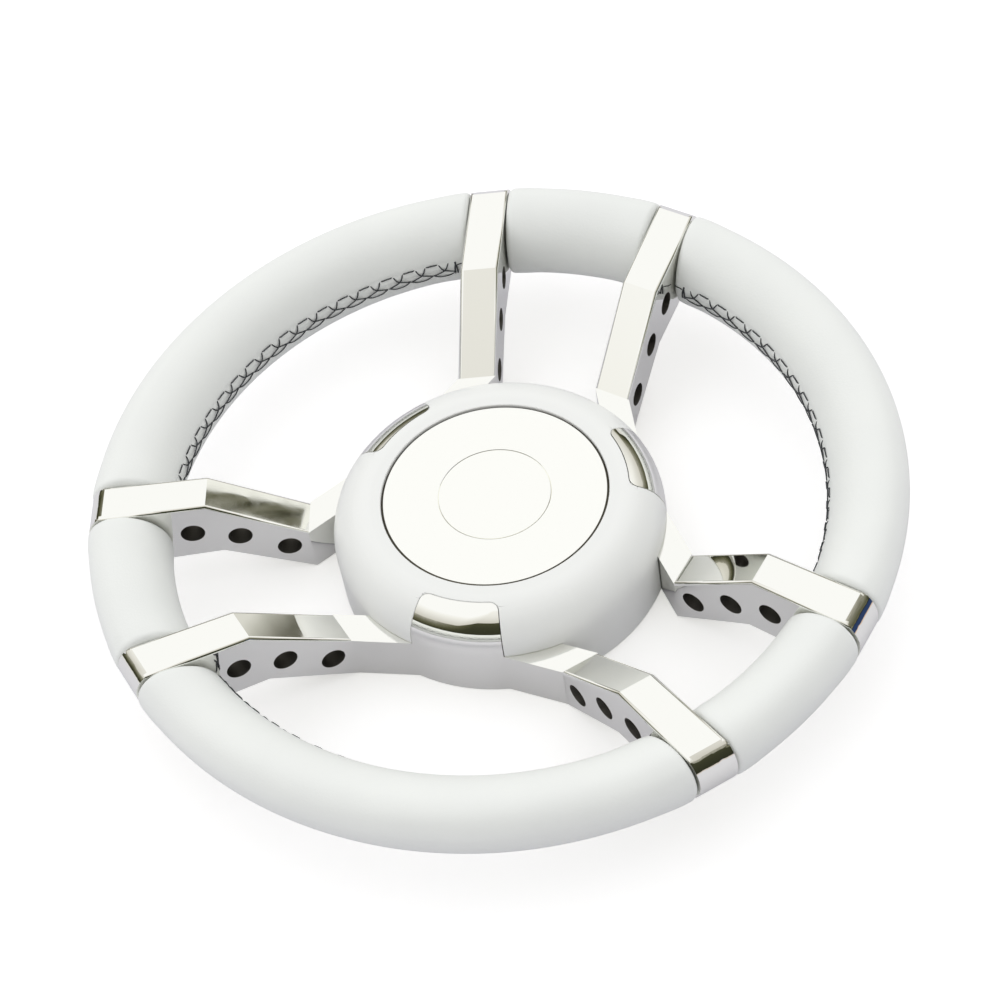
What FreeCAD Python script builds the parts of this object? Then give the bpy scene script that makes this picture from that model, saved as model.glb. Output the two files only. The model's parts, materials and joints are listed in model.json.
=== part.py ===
import FreeCAD, Part
import math
import os

import Sketcher
from FreeCAD import Placement, Rotation, Vector

# Six-spoke stainless steering wheel for a boat.
# The origin is the middle of the hub's flat back face, +Z points along the wheel's axis to the
# person who steers, and +Y runs through the middle of one pair of spokes.

os.makedirs("parts", exist_ok=True)
doc = FreeCAD.newDocument("steering_wheel")

# Driving dimensions: millimetres and degrees, heights measured from the hub's back face.
SIZES = [
    ("rim_diameter", 350.0, "outside diameter over the leather"),
    ("rim_height", 39.5, "height of the middle of the rim's oval section"),
    ("grip_long", 19.4, "half the long diameter of that oval, over the leather"),
    ("grip_short", 15.1, "half its short diameter"),
    ("grip_end", 12.0, "radius of the oval's two ends"),
    ("grip_lean", 48.0, "angle from level to the long diameter, whose upper end leans outwards"),
    ("grip_rounding", 2.4, "rounding of a grip's two ends"),
    ("collar_step", 0.3, "how far a spoke's collar lies below the leather beside it"),
    ("ring_radius", 9.5, "outer radius of the steel tube inside the rim"),
    ("ring_wall", 2.0, "wall of that tube"),
    ("cover_thickness", 1.3, "leather with its backing"),
    ("spoke_splay", 8.45, "angle between a spoke and the middle line of its pair"),
    ("spoke_offset", 19.65, "distance from the wheel's axis to a spoke's middle plane"),
    ("spoke_width", 17.1, "distance between the two flat sides of a spoke"),
    ("valley_reach", 82.0, "distance along the spoke to the crease at its foot"),
    ("valley_height", 23.2, "height of that crease and of the flat root inside it"),
    ("knee_reach", 122.0, "distance along the spoke to the bend of its top face"),
    ("knee_height", 51.8, "height of that bend"),
    ("crown_height", 55.9, "height where the flat top face runs out on the collar's round"),
    ("belly_reach", 119.5, "distance along the spoke to the bend of its underside"),
    ("belly_height", 21.2, "height of that bend"),
    ("spoke_edge", 1.5, "rounding of the spoke's upper edges"),
    ("hole_first", 91.4, "distance along the spoke to the innermost hole"),
    ("hole_pitch", 19.5, "distance from hole to hole"),
    ("hole_radius", 5.3, "radius of the three holes"),
    ("hole_drop", 1.1, "how far the holes lie below the middle of the web"),
    ("hub_radius", 72.0, "outside radius of the hub"),
    ("dome_height", 43.0, "height of the flat rim round the disc"),
    ("dome_radius", 18.5, "radius of the dome's shoulder"),
    ("lug_half_angle", 16.1, "half the angle that a lug of the hub takes up"),
    ("lug_reach", 57.8, "distance from the axis to a lug's inner edge"),
    ("lug_thickness", 4.5, "wall of a lug"),
    ("lug_corner", 3.7, "rounding of a lug's upper corners"),
    ("bowl_wall", 5.0, "wall of the hub's bowl behind the cap"),
    ("bowl_height", 22.0, "height of that wall"),
    ("web_top", 9.0, "height of the bowl's floor"),
    ("web_recess", 3.0, "depth of the hollow under the bowl's floor"),
    ("boss_radius", 17.0, "radius of the boss for the shaft"),
    ("boss_height", 24.0, "height of that boss"),
    ("bore_diameter", 19.05, "large end of the tapered bore, at the back face"),
    ("bore_taper", 12.0, "length over which the bore's diameter loses one unit"),
    ("key_width", 4.8, "width of the keyway"),
    ("key_depth", 2.2, "depth of the keyway past the bore"),
    ("post_radius", 5.5, "radius of the three posts under the cap"),
    ("post_circle", 34.0, "distance from the axis to a post"),
    ("screw_radius", 2.0, "radius of the cap's screws"),
    ("screw_depth", 11.0, "length of screw in a post"),
    ("screw_head", 3.8, "radius of the countersunk heads"),
    ("socket_radius", 1.4, "radius of the hexagon socket, over its corners"),
    ("socket_depth", 1.3, "depth of that socket"),
    ("cap_wall", 2.6, "wall of the moulded cap"),
    ("cap_lift", 0.6, "height of the cap's lower edge between two spokes"),
    ("floor_thickness", 2.2, "plate of the cap under the disc"),
    ("disc_radius", 49.0, "radius of the polished disc"),
    ("disc_thickness", 1.2, "thickness of the disc and of the medallion"),
    ("disc_sink", 0.8, "how far the disc lies below the rim round it"),
    ("medallion_radius", 24.1, "radius of the round plate in the middle of the disc"),
    ("edge_break", 0.3, "rounding of small edges"),
    ("lacing_reach", 35.4, "angle from the middle of a long grip to its outermost cross of thread"),
    ("lacing_rise", 5.0, "slope of the leather under the middle of the lacing, up from upright"),
    ("lacing_width", 7.4, "width of the band of lacing"),
    ("thread_radius", 0.4, "radius of the lacing thread"),
    ("fit_gap", 0.05, "clearance of parts that sit in or on each other"),
    ("seam_gap", 0.3, "gap seen between neighbouring parts"),
]

sheet = doc.addObject("Spreadsheet::Sheet", "sizes")
for row, (alias, number, meaning) in enumerate(SIZES, start=1):
    sheet.set(f"A{row}", alias)
    sheet.set(f"B{row}", str(number))
    sheet.set(f"C{row}", meaning)
    sheet.setAlias(f"B{row}", alias)
doc.recompute()


def cells(text):
    """Expression in which each driving dimension is read from the sheet."""
    words = {alias for alias, _, _ in SIZES}
    pieces, word = [], ""
    for letter in text + " ":
        if letter.isalnum() or letter == "_":
            word += letter
            continue
        pieces.append("sizes." + word if word in words else word)
        pieces.append(letter)
        word = ""
    return "".join(pieces).strip()


def number(text):
    """Number that an expression gives, in millimetres or degrees."""
    result = sheet.evalExpression(cells(text))
    return float(getattr(result, "Value", result))


# Lengths and heights that follow from the driving dimensions.
END_SHIFT = "(grip_long - grip_end)"
SIDE_SHIFT = f"(({END_SHIFT} ^ 2 - (grip_short - grip_end) ^ 2) / (2 * (grip_short - grip_end)))"
SIDE_RADIUS = f"(grip_short + {SIDE_SHIFT})"
RIM_RADIUS = f"(rim_diameter / 2 - {SIDE_RADIUS} + {SIDE_SHIFT} * sin(grip_lean))"
RIM_REACH = f"sqrt({RIM_RADIUS} ^ 2 - spoke_offset ^ 2)"
SKEW = f"(spoke_splay + asin(spoke_offset / {RIM_RADIUS}) / 1deg)"
DOME_INSET = "(hub_radius - dome_radius)"
DOME_FOOT = "(dome_height - dome_radius)"
DISC_TOP = "(dome_height - disc_sink)"
DISC_SEAT = f"({DISC_TOP} - disc_thickness - fit_gap)"
POST_TOP = f"({DISC_SEAT} - floor_thickness - fit_gap)"
BOWL_RADIUS = "(hub_radius - cap_wall - seam_gap)"
PAIRS = 3
HOLES = 3
CAST_IN = 1.0
CLEAR = 10.0
NEAR = 0.02


def new_body(name):
    """Empty body whose label names the part."""
    body = doc.addObject("PartDesign::Body", name)
    body.Label = name
    return body


def origin_item(body, role):
    """One of the body's own planes or axes."""
    return next(item for item in body.Origin.OriginFeatures if item.Role == role)


def new_sketch(body, name, role, along=None, turn=None):
    """Sketch on one of the body's own planes, shifted by expressions and turned about its Y axis."""
    sketch = body.newObject("Sketcher::SketchObject", name)
    sketch.AttachmentSupport = [(origin_item(body, role), "")]
    sketch.MapMode = "FlatFace"
    if turn:
        upright = Rotation(Vector(0, 1, 0), number(turn))
        sketch.AttachmentOffset = Placement(Vector(0, 0, 0), upright)
        sketch.setExpression(".AttachmentOffset.Rotation.Angle", cells(turn))
    for axis, text in (along or {}).items():
        sketch.setExpression(f".AttachmentOffset.Base.{axis}", cells(text))
    return sketch


def place_point(sketch, item, end, point):
    """Hold one end of a line, or a centre, at a pair of expressions."""
    for kind, text in zip(("DistanceX", "DistanceY"), point):
        rule = sketch.addConstraint(Sketcher.Constraint(kind, -1, 1, item, end, number(text)))
        sketch.setExpression(f"Constraints[{rule}]", cells(text))


def draw_outline(sketch, points, arcs=None):
    """Closed outline through points given as pairs of expressions.

    arcs maps the number of a point to (centre, radius, turn): from that point to the next the
    outline follows a circle, anticlockwise where turn is 1 and clockwise where it is -1.
    """
    arcs = arcs or {}
    first = sketch.GeometryCount
    flat = [Vector(number(x), number(y), 0) for x, y in points]
    ends = []
    for index, start in enumerate(flat):
        finish = flat[(index + 1) % len(flat)]
        if index not in arcs:
            sketch.addGeometry(Part.LineSegment(start, finish), False)
            ends.append((1, 2))
            continue
        (x, y), radius, turn = arcs[index]
        centre = Vector(number(x), number(y), 0)
        circle = Part.Circle(centre, Vector(0, 0, 1), number(radius))
        low, high = (start, finish) if turn > 0 else (finish, start)
        span = Part.ArcOfCircle(circle, circle.parameter(low), circle.parameter(high))
        sketch.addGeometry(span, False)
        ends.append((1, 2) if turn > 0 else (2, 1))
    for index in range(len(points)):
        after = (index + 1) % len(points)
        joint = (first + index, ends[index][1], first + after, ends[after][0])
        sketch.addConstraint(Sketcher.Constraint("Coincident", *joint))
    for index, point in enumerate(points):
        place_point(sketch, first + index, ends[index][0], point)
    for index, (_, radius, _) in arcs.items():
        rule = sketch.addConstraint(Sketcher.Constraint("Radius", first + index, number(radius)))
        sketch.setExpression(f"Constraints[{rule}]", cells(radius))


def draw_circle(sketch, centre, radius):
    """Circle whose centre and radius are expressions."""
    middle = Vector(number(centre[0]), number(centre[1]), 0)
    item = sketch.addGeometry(Part.Circle(middle, Vector(0, 0, 1), number(radius)), False)
    place_point(sketch, item, 3, centre)
    rule = sketch.addConstraint(Sketcher.Constraint("Radius", item, number(radius)))
    sketch.setExpression(f"Constraints[{rule}]", cells(radius))


def add_feature(body, kind, name, sketch, **settings):
    """PartDesign feature made from a sketch; text settings are expressions."""
    feature = body.newObject("PartDesign::" + kind, name)
    feature.Profile = sketch
    for setting, given in settings.items():
        if isinstance(given, str) and setting not in ("SideType", "Type"):
            feature.setExpression(setting, cells(given))
        else:
            setattr(feature, setting, given)
    doc.recompute()
    return feature


def turned(body, kind, name, sketch, angle="360", middle=False):
    """Revolution or Groove about the sketch's upright axis."""
    axis = (sketch, ["V_Axis"])
    return add_feature(body, kind, name, sketch, ReferenceAxis=axis, Angle=angle, Midplane=middle)


def pattern(body, name, originals=None):
    """Three copies about the wheel's axis, of some features or of the whole shape."""
    copies = body.newObject("PartDesign::PolarPattern", name)
    if originals:
        copies.Originals = originals
    else:
        copies.TransformMode = "Whole shape"
    copies.Axis = (origin_item(body, "Z_Axis"), [""])
    copies.Angle = 360.0
    copies.Occurrences = PAIRS
    body.Tip = copies
    doc.recompute()
    return copies


def mirror(body, name):
    """Mirror image of the whole shape across the plane through +Y and the wheel's axis."""
    copies = body.newObject("PartDesign::Mirrored", name)
    copies.TransformMode = "Whole shape"
    copies.MirrorPlane = (origin_item(body, "YZ_Plane"), [""])
    body.Tip = copies
    doc.recompute()
    return copies


def edges_where(shape, test):
    """Names of the edges whose two ends and middle all pass a test."""
    names = []
    for index, edge in enumerate(shape.Edges, start=1):
        middle = edge.valueAt((edge.FirstParameter + edge.LastParameter) / 2)
        places = [vertex.Point for vertex in edge.Vertexes] + [middle]
        if all(test(place) for place in places):
            names.append(f"Edge{index}")
    return names


def mirror_and_pattern(body, name, originals):
    """Mirror images and three copies about the wheel's axis, of some features."""
    both = body.newObject("PartDesign::MultiTransform", name)
    both.Originals = originals
    mirrored = body.newObject("PartDesign::Mirrored", name + "_mirror")
    mirrored.MirrorPlane = (origin_item(body, "YZ_Plane"), [""])
    turns = body.newObject("PartDesign::PolarPattern", name + "_turns")
    turns.Axis = (origin_item(body, "Z_Axis"), [""])
    turns.Angle = 360.0
    turns.Occurrences = PAIRS
    both.Transformations = [mirrored, turns]
    body.Tip = both
    doc.recompute()
    return both


def round_edges(body, name, radius, test):
    """Fillet on the edges of the body's last shape that pass a test."""
    base = body.Tip
    fillet = body.newObject("PartDesign::Fillet", name)
    fillet.Base = (base, edges_where(base.Shape, test))
    fillet.setExpression("Radius", cells(radius))
    doc.recompute()
    return fillet


def spoke_point(reach, side="0"):
    """Point in plan at a distance along the spoke, moved to one of its sides (-1, 0 or 1)."""
    shift = f"({side}) * spoke_width / 2 / cos({SKEW} - spoke_splay)"
    x = f"({reach}) * sin(spoke_splay) + spoke_offset * cos(spoke_splay) + {shift} * cos({SKEW})"
    y = f"({reach}) * cos(spoke_splay) - spoke_offset * sin(spoke_splay) - {shift} * sin({SKEW})"
    return x, y


def polar_point(radius, angle):
    """Point in plan at an angle from +Y towards +X."""
    return f"({radius}) * sin({angle})", f"({radius}) * cos({angle})"


def oval_centre(end, side, middle=RIM_RADIUS):
    """Centre of one of the four arcs of the rim's oval section.

    end is 1 for the arc at the upper outer end, -1 for the one at the lower inner end; side is 1
    for the long arc that faces outwards and down, -1 for the one that faces inwards and up.
    """
    along = f"({end}) * {END_SHIFT}"
    across = f"({side}) * {SIDE_SHIFT}"
    x = f"({middle} + {along} * cos(grip_lean) - {across} * sin(grip_lean))"
    y = f"(rim_height + {along} * sin(grip_lean) + {across} * cos(grip_lean))"
    return x, y


def oval_corner(end, side, inset="0", middle=RIM_RADIUS):
    """Point where an end arc of the oval meets a side arc, on an oval drawn in by an inset."""
    x, y = oval_centre(end, 0, middle)
    share = f"((grip_end - ({inset})) / ({SIDE_RADIUS} - grip_end))"
    along = f"({end}) * {END_SHIFT}"
    across = f"({side}) * {SIDE_SHIFT}"
    x = f"({x} + {share} * ({along} * cos(grip_lean) + {across} * sin(grip_lean)))"
    y = f"({y} + {share} * ({along} * sin(grip_lean) - {across} * cos(grip_lean)))"
    return x, y


def draw_oval(sketch, inset):
    """The rim's oval section, drawn in by an inset."""
    corners = [oval_corner(end, side, inset) for end, side in ((1, 1), (1, -1), (-1, -1), (-1, 1))]
    draw_outline(sketch, corners, arcs={
        0: (oval_centre(1, 0), f"grip_end - ({inset})", 1),
        1: (oval_centre(0, -1), f"{SIDE_RADIUS} - ({inset})", 1),
        2: (oval_centre(-1, 0), f"grip_end - ({inset})", 1),
        3: (oval_centre(0, 1), f"{SIDE_RADIUS} - ({inset})", 1),
    })


def web_middle(reach):
    """Height half way between a spoke's top and underside."""
    if number(reach) < number("knee_reach"):
        rise = "(knee_height - valley_height) / (knee_reach - valley_reach)"
        top = f"(valley_height + ({reach} - valley_reach) * {rise})"
    else:
        rise = f"(crown_height - knee_height) / ({CROWN_REACH} - knee_reach)"
        top = f"(knee_height + ({reach} - knee_reach) * {rise})"
    if number(reach) < number("belly_reach"):
        under = f"(({reach} - valley_reach) * belly_height / (belly_reach - valley_reach))"
    else:
        under = f"(belly_height + ({reach} - belly_reach) * tan({BELLY_SLOPE}))"
    return f"(({top} + {under}) / 2)"


UPPER_END = oval_centre(1, 0, RIM_REACH)
LOWER_SIDE = oval_centre(0, 1, RIM_REACH)
CROWN_RISE = f"(crown_height - {UPPER_END[1]})"
CROWN_REACH = f"({UPPER_END[0]} + sqrt((grip_end - collar_step) ^ 2 - {CROWN_RISE} ^ 2))"
COLLAR_SIDE = f"({SIDE_RADIUS} - collar_step)"
BELLY_RUN = f"({LOWER_SIDE[0]} - belly_reach)"
BELLY_RISE = f"({LOWER_SIDE[1]} - belly_height)"
BELLY_SLOPE = (
    f"(atan2({BELLY_RISE}; {BELLY_RUN}) / 1deg"
    f" - asin({COLLAR_SIDE} / sqrt({BELLY_RUN} ^ 2 + {BELLY_RISE} ^ 2)) / 1deg)"
)
LUG_MIDDLE = "(180 / 3)"
ROOT_ANGLE = f"({LUG_MIDDLE} - lug_half_angle)"
ROOT_START = spoke_point("valley_reach", "1")
ROOT_INNER = spoke_point("valley_reach", "-1")
ROOT_CORNER = polar_point("hub_radius", ROOT_ANGLE)
ROOT_RUN = tuple(f"({far} - ({near}))" for far, near in zip(ROOT_CORNER, ROOT_START))
ROOT_LENGTH = f"sqrt({ROOT_RUN[0]} ^ 2 + {ROOT_RUN[1]} ^ 2)"


def root_inner_wall(share, clearance="0"):
    """Point along a root's inner wall, moved towards the pair's middle line by a clearance."""
    x = f"({ROOT_INNER[0]}) + {share} * {ROOT_RUN[0]} + ({clearance}) * {ROOT_RUN[1]} / {ROOT_LENGTH}"
    y = f"({ROOT_INNER[1]}) + {share} * {ROOT_RUN[1]} - ({clearance}) * {ROOT_RUN[0]} / {ROOT_LENGTH}"
    return x, y


def is_blade_edge(place):
    """True on the long upper edges of the first spoke, from the crease to the collar."""
    splay = Rotation(Vector(0, 0, 1), number("spoke_splay"))
    local = splay.multVec(Vector(place.x, place.y, place.z))
    off_side = abs(abs(local.x - number("spoke_offset")) - number("spoke_width") / 2)
    if place.x < 0 or off_side > NEAR:
        return False
    on_slope = abs(web_top_height(local.y, local.x) - place.z) < NEAR
    return on_slope and local.y > number("valley_reach") - number("spoke_width") / 4


def web_top_height(reach, across):
    """Height of the spoke's upper faces at a distance along it, with their skewed folds."""
    skew = number(f"tan({SKEW} - spoke_splay)")
    reach = reach + (across - number("spoke_offset")) * skew
    stations = [
        (number("valley_reach"), number("valley_height")),
        (number("knee_reach"), number("knee_height")),
        (number(CROWN_REACH), number("crown_height")),
    ]
    for (near, low), (far, high) in zip(stations, stations[1:]):
        if reach <= far + NEAR:
            return low + (high - low) * (reach - near) / (far - near)
    return -CLEAR


def make_spider():
    """Hub bowl, three lugs, six spokes and six collars: one polished casting."""
    body = new_body("spider_casting")

    bowl = new_sketch(body, "bowl_section", "YZ_Plane")
    bowl_inner = f"({BOWL_RADIUS} - bowl_wall)"
    draw_outline(bowl, [
        ("0", "0"), ("boss_radius", "0"), ("boss_radius", "web_recess"),
        (bowl_inner, "web_recess"), (bowl_inner, "0"), (BOWL_RADIUS, "0"),
        (BOWL_RADIUS, "bowl_height"), (bowl_inner, "bowl_height"), (bowl_inner, "web_top"),
        ("boss_radius", "web_top"), ("boss_radius", "boss_height"), ("0", "boss_height"),
    ])
    turned(body, "Revolution", "bowl", bowl)

    side = new_sketch(
        body, "spoke_side", "YZ_Plane",
        along={"x": "-spoke_offset * sin(spoke_splay)", "z": "spoke_offset * cos(spoke_splay)"},
        turn="-spoke_splay")
    draw_outline(side, [
        ("valley_reach", "0"), ("belly_reach", "belly_height"),
        (f"{LOWER_SIDE[0]} + {COLLAR_SIDE} * sin({BELLY_SLOPE})",
         f"{LOWER_SIDE[1]} - {COLLAR_SIDE} * cos({BELLY_SLOPE})"),
        oval_corner(1, 1, "collar_step", RIM_REACH),
        (CROWN_REACH, "crown_height"), ("knee_reach", "knee_height"),
        ("valley_reach", "valley_height"),
    ], arcs={2: (LOWER_SIDE, COLLAR_SIDE, 1), 3: (UPPER_END, "grip_end - collar_step", 1)})
    for index in range(HOLES):
        reach = f"(hole_first + {index} * hole_pitch)"
        draw_circle(side, (reach, f"{web_middle(reach)} - hole_drop"), "hole_radius")
    add_feature(
        body, "Pad", "spoke_blade", side,
        SideType="Symmetric", Length="spoke_width", AlongSketchNormal=True, UseCustomVector=True,
        Direction=Vector(number(f"cos({SKEW})"), -number(f"sin({SKEW})"), 0))
    body.Tip.setExpression(".Direction.x", cells(f"cos({SKEW})"))
    body.Tip.setExpression(".Direction.y", cells(f"-sin({SKEW})"))
    doc.recompute()
    round_edges(body, "spoke_edges", "spoke_edge", is_blade_edge)

    root = new_sketch(body, "root_plan", "XY_Plane")
    root_core = polar_point("hub_radius - lug_thickness - bowl_wall / 4", ROOT_ANGLE)
    draw_outline(root, [ROOT_START, ROOT_CORNER, root_core, root_inner_wall("1"), ROOT_INNER])
    add_feature(body, "Pad", "spoke_root", root, Length="valley_height")

    lug = new_sketch(body, "lug_section", "YZ_Plane")
    lug_inner = f"({BOWL_RADIUS} - bowl_wall + {CAST_IN})"
    lug_shell = "(dome_radius - lug_thickness)"
    lug_run = f"(lug_reach - {DOME_INSET})"
    draw_outline(lug, [
        (f"-{lug_inner}", "0"), ("-hub_radius", "0"), ("-hub_radius", DOME_FOOT),
        ("-lug_reach", f"{DOME_FOOT} + sqrt(dome_radius ^ 2 - {lug_run} ^ 2)"),
        ("-lug_reach", f"{DOME_FOOT} + sqrt({lug_shell} ^ 2 - {lug_run} ^ 2)"),
        ("-(hub_radius - lug_thickness)", DOME_FOOT), (f"-{lug_inner}", DOME_FOOT),
    ], arcs={
        2: ((f"-{DOME_INSET}", DOME_FOOT), "dome_radius", -1),
        4: ((f"-{DOME_INSET}", DOME_FOOT), lug_shell, 1),
    })
    turned(body, "Revolution", "lug", lug, angle="2 * lug_half_angle", middle=True)
    round_edges(body, "lug_corners", "lug_corner", is_lug_corner)

    post = new_sketch(body, "post_plan", "XY_Plane", along={"z": "web_top / 2"})
    draw_circle(post, ("0", "-post_circle"), "post_radius")
    add_feature(body, "Pad", "post", post, Length=f"{POST_TOP} - web_top / 2")
    tapped = new_sketch(body, "post_hole_plan", "XY_Plane", along={"z": POST_TOP})
    draw_circle(tapped, ("0", "-post_circle"), "screw_radius + fit_gap")
    add_feature(body, "Pocket", "post_hole", tapped, Length="screw_depth + 2 * screw_radius")

    mirror(body, "pair_of_spokes")
    pattern(body, "three_pairs")

    bore = new_sketch(body, "bore_section", "YZ_Plane")
    bore_slope = "/ (2 * bore_taper)"
    draw_outline(bore, [
        ("0", f"-{CLEAR}"), (f"bore_diameter / 2 + {CLEAR} {bore_slope}", f"-{CLEAR}"),
        (f"(bore_diameter / 2 - (boss_height + {CLEAR}) {bore_slope})", f"boss_height + {CLEAR}"),
        ("0", f"boss_height + {CLEAR}"),
    ])
    turned(body, "Groove", "tapered_bore", bore)
    keyway = new_sketch(body, "keyway_plan", "XY_Plane")
    draw_outline(keyway, [
        ("-key_width / 2", "0"), ("key_width / 2", "0"),
        ("key_width / 2", "bore_diameter / 2 + key_depth"),
        ("-key_width / 2", "bore_diameter / 2 + key_depth"),
    ])
    add_feature(body, "Pocket", "keyway", keyway, Length="boss_height", Reversed=True)

    passage = new_sketch(body, "ring_passage_section", "YZ_Plane")
    draw_circle(passage, (RIM_RADIUS, "rim_height"), "ring_radius + fit_gap")
    turned(body, "Groove", "ring_passage", passage)
    return body


def is_lug_corner(place):
    """True on the two short upright edges at the inner end of the first lug."""
    reach = math.hypot(place.x, place.y)
    angle = math.degrees(math.atan2(abs(place.x), -place.y))
    return abs(reach - number("lug_reach")) < NEAR and abs(angle - number("lug_half_angle")) < NEAR


def make_ring():
    """Closed ring of round steel tube that runs through the collars."""
    body = new_body("rim_ring")
    section = new_sketch(body, "tube_section", "YZ_Plane")
    draw_circle(section, (RIM_RADIUS, "rim_height"), "ring_radius")
    draw_circle(section, (RIM_RADIUS, "rim_height"), "ring_radius - ring_wall")
    turned(body, "Revolution", "tube", section)
    return body


LONG_SLOPE = f"({LUG_MIDDLE} - spoke_splay)"
LONG_SIDE = "(spoke_offset + spoke_width / 2 + seam_gap)"
SHORT_SLOPE = "spoke_splay"
SHORT_SIDE = "(spoke_width / 2 + seam_gap - spoke_offset)"
CROSSES = 17
ARM_SHARE = 0.22
MEETING = -0.45
TAIL = 0.5
BAR_SHARE = 1.8


def make_grip_body(name, slope, side, inset, inner, setback, rounding, turn):
    """Length of oval rim section whose ends are parallel to the spokes beside it."""
    body = new_body(name)
    section = new_sketch(body, name + "_section", "YZ_Plane")
    draw_oval(section, inset)
    draw_circle(section, (RIM_RADIUS, "rim_height"), inner)
    turned(body, "Revolution", name + "_round", section)

    ends = new_sketch(body, name + "_ends", "XY_Plane")
    draw_circle(ends, ("0", "0"), "rim_diameter")
    near, far = f"{RIM_RADIUS} / 2", "(rim_diameter * 2 / 3)"
    across = f"({side} + {setback})"
    corners = []
    for hand, reach in ((1, near), (1, far), (-1, far), (-1, near)):
        x = f"{hand} * ({reach} * sin({slope}) - {across} * cos({slope}))"
        y = f"{reach} * cos({slope}) + {across} * sin({slope})"
        corners.append((x, y))
    corners.insert(2, ("0", far))
    draw_outline(ends, corners)
    add_feature(body, "Pocket", name + "_trim", ends, Length="2 * rim_height", Reversed=True)

    lean, flat, well_out = math.radians(number(slope)), number(across), number("ring_radius") + CAST_IN

    def is_end_edge(place):
        off_axis = math.hypot(place.x, place.y) - number(RIM_RADIUS)
        radius = math.hypot(off_axis, place.z - number("rim_height"))
        reach = place.y * math.sin(lean) - abs(place.x) * math.cos(lean)
        return radius > well_out and abs(reach - flat) < NEAR

    round_edges(body, name + "_rounding", rounding, is_end_edge)
    body.Placement = Placement(Vector(0, 0, 0), Rotation(Vector(0, 0, 1), turn))
    doc.recompute()
    return body


def make_grip(place, slope, side, turn):
    """Foam sleeve on the ring and the leather cover that closes over it."""
    foam_inset = "(cover_thickness + fit_gap)"
    foam_rounding = "(grip_rounding - cover_thickness)"
    foam = make_grip_body(
        f"foam_sleeve_{place}", slope, side, foam_inset, "ring_radius + fit_gap",
        foam_inset, foam_rounding, turn)
    room = make_grip_body(
        f"foam_room_{place}", slope, side, "cover_thickness", "ring_radius - ring_wall / 2",
        "cover_thickness", foam_rounding, turn)
    blank = make_grip_body(
        f"leather_blank_{place}", slope, side, "0", "ring_radius + fit_gap",
        "0", "grip_rounding", turn)
    cover = doc.addObject("Part::Cut", f"leather_cover_{place}")
    cover.Label = cover.Name
    cover.Base = blank
    cover.Tool = room
    doc.recompute()
    return [foam, cover]


def lacing_shape():
    """Thread that closes the seam of a long grip.

    Each cross runs from two holes in the upper edge to the two places where it meets its
    neighbours. Stitches join the crosses along the upper edge and slack loops along the lower
    one. A thick bar lies across the band at each end, and a tail runs from it to the spoke.
    """
    centre_radius, centre_height = [number(text) for text in oval_centre(0, -1)]
    half_band = math.degrees(number(f"lacing_width / 2 / {SIDE_RADIUS}"))
    reach = number("lacing_reach")
    step = 2 * reach / (CROSSES - 1)
    threads = []

    def lay(places, thickness=1.0):
        radius = thickness * number("thread_radius")
        lift = number(f"{SIDE_RADIUS} + 2 * fit_gap") + radius
        points = []
        for along, across in places:
            slope = math.radians(number("lacing_rise") + across * half_band)
            around = math.radians(along)
            off_axis = centre_radius - lift * math.cos(slope)
            height = centre_height + lift * math.sin(slope)
            points.append(Vector(off_axis * math.sin(around), off_axis * math.cos(around), height))
        for start, finish in zip(points, points[1:]):
            run = finish - start
            threads.append(Part.makeCylinder(radius, run.Length, start, run))

    for cross in range(CROSSES):
        middle = cross * step - reach
        for hand in (-step, step):
            lay([(middle + hand * ARM_SHARE, 1), (middle, 0), (middle - hand / 2, MEETING)])
        lay([(middle - step / 2, MEETING), (middle, -1), (middle + step / 2, MEETING)])
        if cross:
            lay([(middle - step * (1 - ARM_SHARE), 1), (middle - step * ARM_SHARE, 1)])
    for hand in (-1, 1):
        end = hand * (reach + step / 2)
        lay([(end, -1), (end, 0), (end, 1)], BAR_SHARE)
        lay([(end, TAIL), (end + hand * step / 3, TAIL)])
    return threads[0].multiFuse(threads[1:])


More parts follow.
